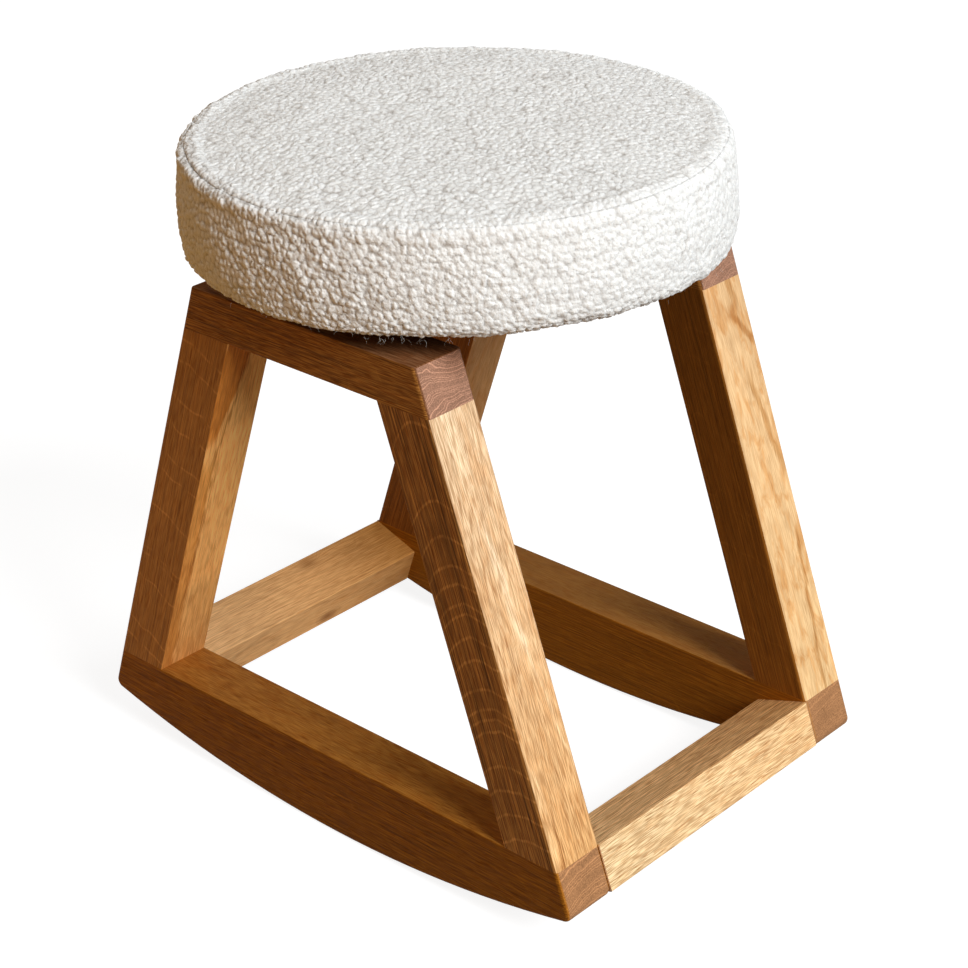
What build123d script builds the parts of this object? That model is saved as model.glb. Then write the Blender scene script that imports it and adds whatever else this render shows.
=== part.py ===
from build123d import *
from math import cos, radians, sin, tan
import os

# Rocking footstool. Two flat oak frames stand side by side and are joined by two cross rails.
# A round upholstered pad lies on a plywood board that is screwed to the top of both frames.
# +X is forward along the rockers, +Y goes across from the near frame to the far one, +Z is up.
# The origin is on the floor, under the middle of the stool. All sizes are in millimetres.

# ---- oak frames ----
member_width = 40.0        # thickness of each frame, across the stool
leg_depth = 40.0           # leg, measured square to its own length
leg_angle = 19.3           # lean of legs and frame ends from upright, degrees
leg_rise = 272.0           # height of the legs between rocker and top rail
rocker_top_length = 404.0  # flat top of a rocker, end to end
rocker_depth = 59.0        # rocker at its middle
rocker_radius = 860.0      # curve that rolls on the floor
rocker_nose = 6.0          # rounding at each end of the curve
top_rail_height = 30.0
frame_gap = 216.0          # clear distance between the two frames
cross_rail_depth = 42.0    # from the slanted end inwards
cross_rail_height = 32.0   # along the slanted end
curve_clearance = 0.5      # cross rails end this far above the rolling curve
arris = 1.0                # rounding of every exposed oak edge, apart from the rolling ones
rolling_edge = 3.0         # rounding of the edges along the curve that rolls

# ---- dowels and screws ----
fit = 0.1                  # clearance round dowels, screws and staples
hole_spare = 1.0           # free depth at the end of a hole
leg_dowel_diameter = 10.0
leg_dowel_length = 36.0
leg_dowel_spacing = 19.0
cross_dowel_diameter = 8.0
cross_dowel_length = 36.0
cross_dowel_spacing = 20.0
dowel_chamfer = 1.0
screw_shank = 4.0
screw_head = 8.4
screw_head_height = 2.6
screw_point = 4.0
screw_tip = 0.3            # radius that the point ends in
screw_drive = 3.2          # square recess in the head, across its flats
screw_drive_depth = 1.6
rail_screw_length = 42.0
rail_screw_end = 10.0      # from the ends of the seat board
pad_screw_length = 25.0
pad_screw_end = 55.0       # from the ends of the seat board
board_screw_side = 20.0    # of all these screws, from the sides of the seat board

# ---- seat board and pad ----
seat_board_width = 120.0   # along the rails
seat_board_overlap = 22.0  # how far the board reaches onto each top rail
seat_board_thickness = 15.0
seat_board_corner = 20.0
board_edge = 1.5
dust_cloth_inset = 14.0    # the dust cloth ends this far inside the side of the pad
dust_cloth_thickness = 0.8
cover_thickness = 3.0
turn_under = 40.0          # width of cover that is pulled under the pad
pad_radius = 172.0         # at the bottom and at the rim of the top
pad_height = 71.0          # from the dust cloth to the rim of the top
pad_crown = 2.0            # rise of the top from its rim to its middle
pad_side_bulge = 2.0
pad_top_round = 14.0
pad_bottom_round = 10.0
seam_inset = 5.0           # the top seam runs this far inside the side
pad_base_inset = 12.0      # the pad base ends this far inside the side of the pad
pad_base_thickness = 9.0
wadding_thickness = 6.0
staple_width = 10.0
staple_wire = 0.9
staple_leg = 7.0
cover_staple_count = 24
cover_staple_inset = 14.0  # from the inner edge of the turned cover
cloth_staple_count = 16
cloth_staple_inset = 5.0   # from the rim of the dust cloth

# ---- levels and places that follow from them ----
slope = tan(radians(leg_angle))
rail_bottom = rocker_depth + leg_rise
frame_top = rail_bottom + top_rail_height
leg_length_along_x = leg_depth / cos(radians(leg_angle))
inner_side = frame_gap / 2
outer_side = inner_side + member_width
frame_middle = inner_side + member_width / 2
board_end = inner_side + seat_board_overlap
board_screw_x = seat_board_width / 2 - board_screw_side
board_top = frame_top + seat_board_thickness
pad_bottom = board_top + dust_cloth_thickness
pad_rim = pad_bottom + pad_height
base_bottom = pad_bottom + cover_thickness
base_top = base_bottom + pad_base_thickness
turn_radius = pad_radius - turn_under
pad_base_radius = pad_radius - pad_base_inset
dust_cloth_radius = pad_radius - dust_cloth_inset
reach = rocker_top_length  # further than any oak member goes from the middle


def end_at(height):
    """Half the length of a frame at a height: its ends lean inwards as they rise."""
    return rocker_top_length / 2 - slope * (height - rocker_depth)


# ---- shaping tools ----

def upright(face):
    """Turn a side view, drawn as x and height, to stand in the XZ plane."""
    return Rot(90, 0, 0) * face


def across(face, low, high):
    """Give a side view its thickness, from y = low to y = high."""
    return Pos(0, high, 0) * extrude(upright(face), high - low, dir=(0, -1, 0))


def block(x_range, y_range, z_range):
    """A box given by its lowest and highest place along each axis."""
    size = [high - low for low, high in (x_range, y_range, z_range)]
    corner = [low for low, high in (x_range, y_range, z_range)]
    return Pos(*corner) * Box(*size, align=(Align.MIN, Align.MIN, Align.MIN))


def disc(radius, low, high):
    """A round plate on the stool's own axis, from one height to another."""
    return Pos(0, 0, low) * Cylinder(radius, high - low, align=(Align.CENTER, Align.CENTER, Align.MIN))


def is_outside_corner(solid, edge, faces):
    """True for a corner that a hand can touch, false for the inside corner of a window."""
    probe = 0.2
    normals = [face.normal_at(edge @ 0.5) for face in faces]
    return not solid.is_inside(edge @ 0.5 + (normals[0] - normals[1]) * probe)


def sanded(shape, keep=None):
    """Round every outside corner that isn't smooth already; keep(edge) says which edges stay sharp."""
    solid = shape.solids()[0]
    smooth_bend = 15
    sharp = []
    for edge in solid.edges():
        faces = [face for face in solid.faces() if any(edge.is_same(side) for side in face.edges())]
        if len(faces) != 2 or (keep and keep(edge)):
            continue
        bend = faces[0].normal_at(edge @ 0.5).get_angle(faces[1].normal_at(edge @ 0.5))
        if bend > smooth_bend and is_outside_corner(solid, edge, faces):
            sharp.append(edge)
    return fillet(sharp, arris)


def four_corners(shape):
    """One piece at each corner of the stool, from the one at the front of the far frame."""
    pair = [shape, shape.mirror(Plane.YZ)]
    return pair + [copy.mirror(Plane.XZ) for copy in pair]


# ---- side frames ----

def rolling_disc(clearance=0.0):
    """The round that the rockers roll on, seen from the side, pulled in by a clearance."""
    return Pos(0, rocker_radius) * Circle(rocker_radius - clearance)


def frame_outline():
    """A side frame seen from the side, with its window and its rolling curve."""
    below = -rocker_nose
    outside = Polyline((-end_at(below), below), (end_at(below), below),
                       (end_at(frame_top), frame_top), (-end_at(frame_top), frame_top), close=True)
    window_low = end_at(rocker_depth) - leg_length_along_x
    window_high = end_at(rail_bottom) - leg_length_along_x
    window = Polyline((-window_low, rocker_depth), (window_low, rocker_depth),
                      (window_high, rail_bottom), (-window_high, rail_bottom), close=True)
    outline = (make_face(outside) & rolling_disc()) - make_face(window)
    noses = outline.vertices().sort_by(Axis.Y)[:2]
    return fillet(noses, rocker_nose)


def rolling_edges(frame):
    """The long edges on both sides of the curve that rolls. A rounding runs on round the noses."""
    arcs = frame.edges().filter_by(GeomType.CIRCLE)
    return arcs.filter_by(lambda edge: abs(edge.radius - rocker_radius) < arris)


def make_far_frame():
    """The far frame cut at its joints: rocker, front leg, back leg and top rail."""
    raw = across(frame_outline(), inner_side, outer_side)
    smooth = sanded(fillet(rolling_edges(raw), rolling_edge))
    sides = (inner_side, outer_side)
    rocker = smooth & block((-reach, reach), sides, (-rocker_nose, rocker_depth))
    # The cross rails lie flush with the ends, so the rocker keeps a sharp corner beside them.
    rail_foot = rocker_depth - cross_rail_height * cos(radians(leg_angle))
    corner = (inner_side, inner_side + arris)
    for x_range in ((end_at(rocker_depth) - arris, reach), (-reach, arris - end_at(rocker_depth))):
        rocker += raw & block(x_range, corner, (rail_foot, rocker_depth))
    front_leg = smooth & block((0, reach), sides, (rocker_depth, rail_bottom))
    back_leg = smooth & block((-reach, 0), sides, (rocker_depth, rail_bottom))
    top_rail = smooth & block((-reach, reach), sides, (rail_bottom, frame_top))
    return rocker, front_leg, back_leg, top_rail


# ---- cross rails ----

def rail_place(inwards, down):
    """A point of the front cross rail's section: x and height, from its top outer edge."""
    turn = radians(leg_angle)
    return (end_at(rocker_depth) - inwards * cos(turn) + down * sin(turn),
            rocker_depth - inwards * sin(turn) - down * cos(turn))


def make_front_cross_rail():
    """A bar between the rockers that leans with the frame ends."""
    bar = Rectangle(cross_rail_depth, cross_rail_height, align=(Align.MAX, Align.MAX))
    bar = Pos(*rail_place(0, 0)) * Rot(0, 0, leg_angle) * bar
    bar = across(bar & rolling_disc(curve_clearance), -inner_side, inner_side)
    return sanded(bar, keep=lambda edge: abs(abs((edge @ 0.5).Y) - inner_side) < arris)


# ---- dowels and screws ----

def dowel(diameter, length):
    """A hardwood pin on its middle, standing upright, with broken ends."""
    pin = Cylinder(diameter / 2, length)
    return chamfer(pin.edges().filter_by(GeomType.CIRCLE), dowel_chamfer)


def dowel_hole(diameter, length):
    return Cylinder(diameter / 2 + fit, length + 2 * hole_spare)


def leg_joints(shape):
    """Copies of a pin or hole at the foot and head of each leg: two lists, foot and head."""
    quarter = leg_dowel_length / 4
    foot_x = end_at(rocker_depth + quarter) - leg_length_along_x / 2
    head_x = end_at(rail_bottom - quarter) - leg_length_along_x / 2
    places = [frame_middle - leg_dowel_spacing / 2, frame_middle + leg_dowel_spacing / 2]
    foot = [copy for y in places for copy in four_corners(Pos(foot_x, y, rocker_depth) * shape)]
    head = [copy for y in places for copy in four_corners(Pos(head_x, y, rail_bottom) * shape)]
    return foot, head


def cross_joints(shape):
    """Copies of a pin or hole at the ends of both cross rails."""
    lying = Rot(90, 0, 0) * shape
    copies = []
    for offset in (-cross_dowel_spacing / 2, cross_dowel_spacing / 2):
        x, z = rail_place(cross_rail_depth / 2 + offset, cross_rail_height / 2)
        copies += four_corners(Pos(x, inner_side, z) * lying)
    return copies


def screw(length):
    """A countersunk wood screw that points up, with the face of its head at height 0."""
    upwards = (Align.CENTER, Align.CENTER, Align.MIN)
    head = Cone(screw_head / 2, screw_shank / 2, screw_head_height, align=upwards)
    shank = Cylinder(screw_shank / 2, length - screw_point, align=upwards)
    point = Pos(0, 0, length - screw_point) * Cone(screw_shank / 2, screw_tip, screw_point, align=upwards)
    drive = Box(screw_drive, screw_drive, screw_drive_depth, align=upwards)
    return head + shank + point - drive


def screw_hole(length):
    upwards = (Align.CENTER, Align.CENTER, Align.MIN)
    sink = Cone(screw_head / 2 + fit, screw_shank / 2 + fit, screw_head_height, align=upwards)
    return sink + Cylinder(screw_shank / 2 + fit, length + hole_spare, align=upwards)


def rail_screw_places(shape):
    return four_corners(Pos(board_screw_x, board_end - rail_screw_end, rail_bottom) * shape)


def pad_screw_places(shape):
    return four_corners(Pos(board_screw_x, board_end - pad_screw_end, frame_top) * shape)


def staple_ring(radius, height, count, clearance=0.0):
    """Staples driven upwards from a height, their backs along a circle, or the slots for them."""
    wire = staple_wire + 2 * clearance
    back = Box(wire, staple_width + 2 * clearance, wire)
    leg = Box(wire, wire, staple_leg + 2 * clearance)
    leg_offset = (staple_width - staple_wire) / 2
    leg_rise_middle = (staple_leg - staple_wire) / 2
    staple = back + Pos(0, leg_offset, leg_rise_middle) * leg + Pos(0, -leg_offset, leg_rise_middle) * leg
    staple = Pos(radius, 0, height + staple_wire / 2) * staple
    return [Rot(0, 0, 360 * turn / count) * staple for turn in range(count)]


def cover_staples(clearance=0.0):
    return staple_ring(turn_radius + cover_staple_inset, pad_bottom, cover_staple_count, clearance)


def cloth_staples(clearance=0.0):
    return staple_ring(dust_cloth_radius - cloth_staple_inset, board_top, cloth_staple_count, clearance)


# ---- seat board and pad ----

def make_seat_board():
    """A board that lies across both top rails, with round corners and broken edges."""
    half_width = seat_board_width / 2
    board = block((-half_width, half_width), (-board_end, board_end), (frame_top, board_top))
    board = fillet(board.edges().filter_by(Axis.Z), seat_board_corner)
    rims = board.faces().filter_by(Axis.Z).edges()
    return chamfer(rims, board_edge)


def pad_body(inset):
    """The pad as a full round body, its surface pulled in by an inset."""
    radius = pad_radius - inset
    low = pad_bottom + inset
    rim = pad_rim - inset
    bulge = radius + pad_side_bulge
    sides = [ThreePointArc((radius, low), (bulge, (low + rim) / 2), (radius, rim)),
             ThreePointArc((radius, rim), (0, rim + pad_crown), (-radius, rim)),
             ThreePointArc((-radius, rim), (-bulge, (low + rim) / 2), (-radius, low)),
             Line((-radius, low), (radius, low))]
    section = make_face(Curve() + sides)
    section = fillet(section.vertices().sort_by(Axis.Y)[:2], pad_bottom_round - inset)
    section = fillet(section.vertices().sort_by(Axis.Y)[-2:], pad_top_round - inset)
    half = Pos(0, low) * Rectangle(reach, reach, align=(Align.MIN, Align.CENTER))
    return revolve(upright(section & half), Axis.Z)


def make_pad():
    """Cover top, cover band, wadding, foam and pad base, from the outside in."""
    cover = pad_body(0) - pad_body(cover_thickness) - disc(turn_radius, pad_bottom, base_bottom)
    top_zone = disc(pad_radius - seam_inset, pad_bottom + pad_height / 2, pad_rim + pad_height)
    above_base = disc(reach, base_top, pad_rim + pad_height)
    foam = pad_body(cover_thickness + wadding_thickness) & above_base
    base = disc(pad_base_radius, base_bottom, base_top)
    wadding = pad_body(cover_thickness) - foam - base
    return cover & top_zone, cover - top_zone, wadding, foam, base


# ---- the pieces ----

def drilled(piece, holes):
    """Take a list of holes out of a piece."""
    return piece - Compound(children=list(holes))


foot_holes, head_holes = leg_joints(dowel_hole(leg_dowel_diameter, leg_dowel_length))
foot_dowels, head_dowels = leg_joints(dowel(leg_dowel_diameter, leg_dowel_length))
cross_holes = cross_joints(dowel_hole(cross_dowel_diameter, cross_dowel_length))
cross_dowels = cross_joints(dowel(cross_dowel_diameter, cross_dowel_length))
rail_screw_holes = rail_screw_places(screw_hole(rail_screw_length))
pad_screw_holes = pad_screw_places(screw_hole(pad_screw_length))

rocker, front_leg, back_leg, top_rail = make_far_frame()
cross_rail = make_front_cross_rail()
seat_board = make_seat_board()
dust_cloth = disc(dust_cloth_radius, board_top, pad_bottom)
cover_top, cover_band, wadding, foam, pad_base = make_pad()

nodes = {
    "far_rocker": drilled(rocker, foot_holes + cross_holes),
    "far_front_leg": drilled(front_leg, foot_holes + head_holes),
    "far_back_leg": drilled(back_leg, foot_holes + head_holes),
    "far_top_rail": drilled(top_rail, head_holes + rail_screw_holes),
    "front_cross_rail": drilled(cross_rail, cross_holes),
    "leg_foot_dowels": foot_dowels,
    "leg_head_dowels": head_dowels,
    "cross_rail_dowels": cross_dowels,
    "seat_board": drilled(seat_board, rail_screw_holes + pad_screw_holes),
    "seat_board_screws": rail_screw_places(screw(rail_screw_length)),
    "pad_screws": pad_screw_places(screw(pad_screw_length)),
    "dust_cloth": drilled(dust_cloth, pad_screw_holes + cloth_staples(fit)),
    "dust_cloth_staples": cloth_staples(),
    "pad_base": drilled(pad_base, pad_screw_holes + cover_staples(fit) + cloth_staples(fit)),
    "cover_side_band": drilled(cover_band, cover_staples(fit) + cloth_staples(fit)),
    "cover_staples": cover_staples(),
    "cover_top_panel": cover_top,
    "wadding_wrap": wadding,
    "foam_core": foam,
}
for name in ("rocker", "front_leg", "back_leg", "top_rail"):
    nodes["near_" + name] = nodes["far_" + name].mirror(Plane.XZ)
nodes["back_cross_rail"] = nodes["front_cross_rail"].mirror(Plane.YZ)

os.makedirs("parts", exist_ok=True)
for name, shape in nodes.items():
    pieces = shape if isinstance(shape, list) else [shape]
    solids = [solid for piece in pieces for solid in piece.solids()]
    whole = solids[0] if len(solids) == 1 else Compound(children=solids)
    export_step(whole, "parts/" + name + ".step")
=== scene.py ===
import math

import bpy
import numpy as np
from mathutils import Matrix, Vector
from mathutils.bvhtree import BVHTree


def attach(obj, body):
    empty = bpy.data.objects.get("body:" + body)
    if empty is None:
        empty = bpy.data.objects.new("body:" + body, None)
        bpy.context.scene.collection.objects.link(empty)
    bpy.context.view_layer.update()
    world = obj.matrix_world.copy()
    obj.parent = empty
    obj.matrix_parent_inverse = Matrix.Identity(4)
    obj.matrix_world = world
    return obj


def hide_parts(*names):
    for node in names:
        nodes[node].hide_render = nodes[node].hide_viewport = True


# Rocking footstool: oak frames on curved rockers under a round pad covered in boucle.
# Metres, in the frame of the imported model: +X along the rockers, +Y to the far frame, +Z up.

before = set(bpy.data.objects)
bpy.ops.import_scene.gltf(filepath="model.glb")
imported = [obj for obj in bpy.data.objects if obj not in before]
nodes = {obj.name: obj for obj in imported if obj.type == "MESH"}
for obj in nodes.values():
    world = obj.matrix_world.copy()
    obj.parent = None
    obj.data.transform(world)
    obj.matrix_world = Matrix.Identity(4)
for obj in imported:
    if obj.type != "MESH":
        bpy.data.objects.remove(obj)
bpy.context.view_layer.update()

MM = 0.001
LEAN = math.radians(19.3)      # legs and frame ends lean inwards as they rise
SIN, COS = math.sin(LEAN), math.cos(LEAN)


# ---- camera -------------------------------------------------------------------------------

def direction(azimuth, elevation):
    """The way out from the stool at these angles in radians; azimuth 0 is towards -Y."""
    return Vector((math.sin(azimuth) * math.cos(elevation),
                   -math.cos(azimuth) * math.cos(elevation),
                   math.sin(elevation)))


def add_camera():
    """The photograph's view: a long lens, a little above the pad, looking down at 27 degrees."""
    azimuth, elevation, roll = map(math.radians, (42.852, 26.855, -1.133))
    target = Vector((6.2, 5.9, 198.2)) * MM
    distance = 1.5744
    focal_pixels, image_pixels, sensor = 2361.7, 968, 36.0
    back = direction(azimuth, elevation)
    level = Vector((math.cos(azimuth), math.sin(azimuth), 0))
    up = back.cross(level)
    right = level * math.cos(roll) + up * math.sin(roll)
    up = back.cross(right)
    data = bpy.data.cameras.new("camera")
    data.sensor_width = sensor
    data.lens = focal_pixels * sensor / image_pixels
    data.clip_start, data.clip_end = 0.05, 50
    camera = bpy.data.objects.new("camera", data)
    camera.matrix_world = Matrix.Translation(target + back * distance) @ Matrix(
        (right, up, back)).transposed().to_4x4()
    bpy.context.scene.collection.objects.link(camera)
    bpy.context.scene.camera = camera


# ---- node trees ---------------------------------------------------------------------------

class Graph:
    """Short calls for building a node tree. Values passed in are sockets, numbers or tuples."""

    def __init__(self, tree):
        self.tree = tree
        tree.nodes.clear()

    def put(self, socket, value):
        if isinstance(value, bpy.types.NodeSocket):
            self.tree.links.new(value, socket)
        elif value is not None:
            if isinstance(value, tuple) and socket.type == "RGBA" and len(value) == 3:
                value = (*value, 1)
            socket.default_value = value

    def node(self, kind, settings=None, **inputs):
        made = self.tree.nodes.new(kind)
        for key, value in (settings or {}).items():
            setattr(made, key, value)
        for key, value in inputs.items():
            self.put(made.inputs[key.replace("_", " ")], value)
        return made

    def math(self, operation, a, b=None, c=None, clamp=False):
        made = self.node("ShaderNodeMath", {"operation": operation, "use_clamp": clamp})
        for socket, value in zip(made.inputs, (a, b, c)):
            self.put(socket, value)
        return made.outputs[0]

    def add(self, a, b):
        return self.math("ADD", a, b)

    def sub(self, a, b):
        return self.math("SUBTRACT", a, b)

    def mul(self, a, b):
        return self.math("MULTIPLY", a, b)

    def vector(self, operation, a, b=None, scale=None):
        made = self.node("ShaderNodeVectorMath", {"operation": operation})
        self.put(made.inputs[0], a)
        self.put(made.inputs[1], b)
        if scale is not None:
            self.put(made.inputs["Scale"], scale)
        return made.outputs["Value" if operation in ("DOT_PRODUCT", "LENGTH") else "Vector"]

    def split(self, vector):
        return self.node("ShaderNodeSeparateXYZ", Vector=vector).outputs[:]

    def join(self, x, y, z):
        return self.node("ShaderNodeCombineXYZ", X=x, Y=y, Z=z).outputs[0]

    def noise(self, vector, scale=1.0, detail=2.0, rough=0.5, distortion=0.0, dims="3D"):
        made = self.node("ShaderNodeTexNoise", {"noise_dimensions": dims}, Scale=scale,
                         Detail=detail, Roughness=rough, Distortion=distortion)
        self.put(made.inputs["W" if dims == "1D" else "Vector"], vector)
        return made.outputs[0]

    def ramp(self, value, low, high, out_low=0.0, out_high=1.0, smooth=True):
        kind = "SMOOTHSTEP" if smooth else "LINEAR"
        made = self.node("ShaderNodeMapRange", {"interpolation_type": kind, "clamp": True})
        for socket, number in zip(made.inputs, (value, low, high, out_low, out_high)):
            self.put(socket, number)
        return made.outputs[0]

    def mix(self, factor, a, b, blend="MIX"):
        made = self.node("ShaderNodeMix", {"data_type": "RGBA", "blend_type": blend,
                                           "clamp_factor": True})
        self.put(made.inputs[0], factor)
        self.put(made.inputs[6], a)
        self.put(made.inputs[7], b)
        return made.outputs[2]

    def bump(self, height, strength, distance):
        return self.node("ShaderNodeBump", Strength=strength, Distance=distance,
                         Height=height).outputs[0]

    def choose(self, factor, first, second):
        """The first shader at factor 0, the second at 1."""
        made = self.node("ShaderNodeMixShader", Fac=factor)
        self.put(made.inputs[1], first)
        self.put(made.inputs[2], second)
        return made.outputs[0]

    def output(self, shader):
        self.node("ShaderNodeOutputMaterial", Surface=shader)


def new_material(name):
    material = bpy.data.materials.new(name)
    material.use_nodes = True
    return material, Graph(material.node_tree)


def principled(g, **inputs):
    """A Principled shader; keys are socket names with underscores for spaces."""
    return g.node("ShaderNodeBsdfPrincipled", **inputs).outputs[0]


# ---- stage and light ----------------------------------------------------------------------

TO_LEFT = (-0.643, -0.766, 0.0)    # the warm side of the room
WHITE = (1, 1, 1, 1)


def seen_directly(g):
    """1 for what the camera sees, also in a reflection or through glass, and 0 for light."""
    path = g.node("ShaderNodeLightPath")
    direct = g.math("MAXIMUM", path.outputs["Is Camera Ray"], path.outputs["Is Glossy Ray"])
    return g.math("MAXIMUM", direct, path.outputs["Is Transmission Ray"])


def add_stage():
    """A plain white floor that keeps the stool's shadow and throws back warm light on one side."""
    mesh = bpy.data.meshes.new("floor")
    half = 12.0
    mesh.from_pydata([(-half, -half, 0), (half, -half, 0), (half, half, 0), (-half, half, 0)],
                     [], [(0, 1, 2, 3)])
    floor = bpy.data.objects.new("floor", mesh)
    bpy.context.scene.collection.objects.link(floor)
    material, g = new_material("floor_white")
    direct = seen_directly(g)
    white = g.node("ShaderNodeBsdfDiffuse", Color=(0.27, 0.28, 0.29, 1)).outputs[0]
    glow = g.node("ShaderNodeEmission", Color=WHITE, Strength=0.88).outputs[0]
    place = g.node("ShaderNodeTexCoord").outputs["Object"]
    side = g.ramp(g.vector("DOT_PRODUCT", place, TO_LEFT), -0.05, 0.48)
    room = g.mix(side, (0.16, 0.15, 0.14), (0.43, 0.208, 0.040))
    pale = g.node("ShaderNodeBsdfDiffuse", Color=room).outputs[0]
    shown = g.node("ShaderNodeAddShader")
    g.put(shown.inputs[0], white)
    g.put(shown.inputs[1], glow)
    g.output(g.choose(direct, pale, shown.outputs[0]))
    floor.data.materials.append(material)


def add_world():
    """White where it is seen, a dim room where it lights, warm on one side."""
    world = bpy.data.worlds.new("room")
    world.use_nodes = True
    bpy.context.scene.world = world
    g = Graph(world.node_tree)
    direct = seen_directly(g)
    way = g.node("ShaderNodeTexCoord").outputs["Generated"]
    side = g.ramp(g.vector("DOT_PRODUCT", way, TO_LEFT), -0.25, 0.80)
    low = g.mix(side, (0.115, 0.11, 0.105), (0.37, 0.187, 0.034))
    sky = g.mix(g.ramp(g.split(way)[2], 0.40, 0.95), low, (0.26, 0.27, 0.275))
    dim = g.node("ShaderNodeBackground", Color=sky, Strength=1.0).outputs[0]
    white = g.node("ShaderNodeBackground", Color=WHITE, Strength=1.0).outputs[0]
    g.node("ShaderNodeOutputWorld", Surface=g.choose(direct, dim, white))


def add_lamp():
    """One large, round and soft lamp, from the right of the camera and a little above it."""
    back = direction(math.radians(86), math.radians(34))
    aim, distance = Vector((0, 0, 0.25)), 14.0
    data = bpy.data.lights.new("key", "AREA")
    data.shape = "DISK"
    data.size = 7.5
    data.energy = 2380
    data.color = (1.0, 0.997, 0.985)
    lamp = bpy.data.objects.new("key", data)
    lamp.location = aim + back * distance
    lamp.rotation_mode = "QUATERNION"
    lamp.rotation_quaternion = (-back).to_track_quat("-Z", "Y")
    bpy.context.scene.collection.objects.link(lamp)


# ---- oak ----------------------------------------------------------------------------------

# factors on a tone: where the rings run out on a broad face, in pores, on rays and in knots
REDDISH, IN_PORES = (0.84, 0.68, 0.52), (0.72, 0.56, 0.44)
ON_RAYS, IN_KNOTS = (2.0, 2.2, 2.5), (0.45, 0.36, 0.30)


def dress(node, material):
    nodes[node].data.materials.clear()
    nodes[node].data.materials.append(material)


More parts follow.
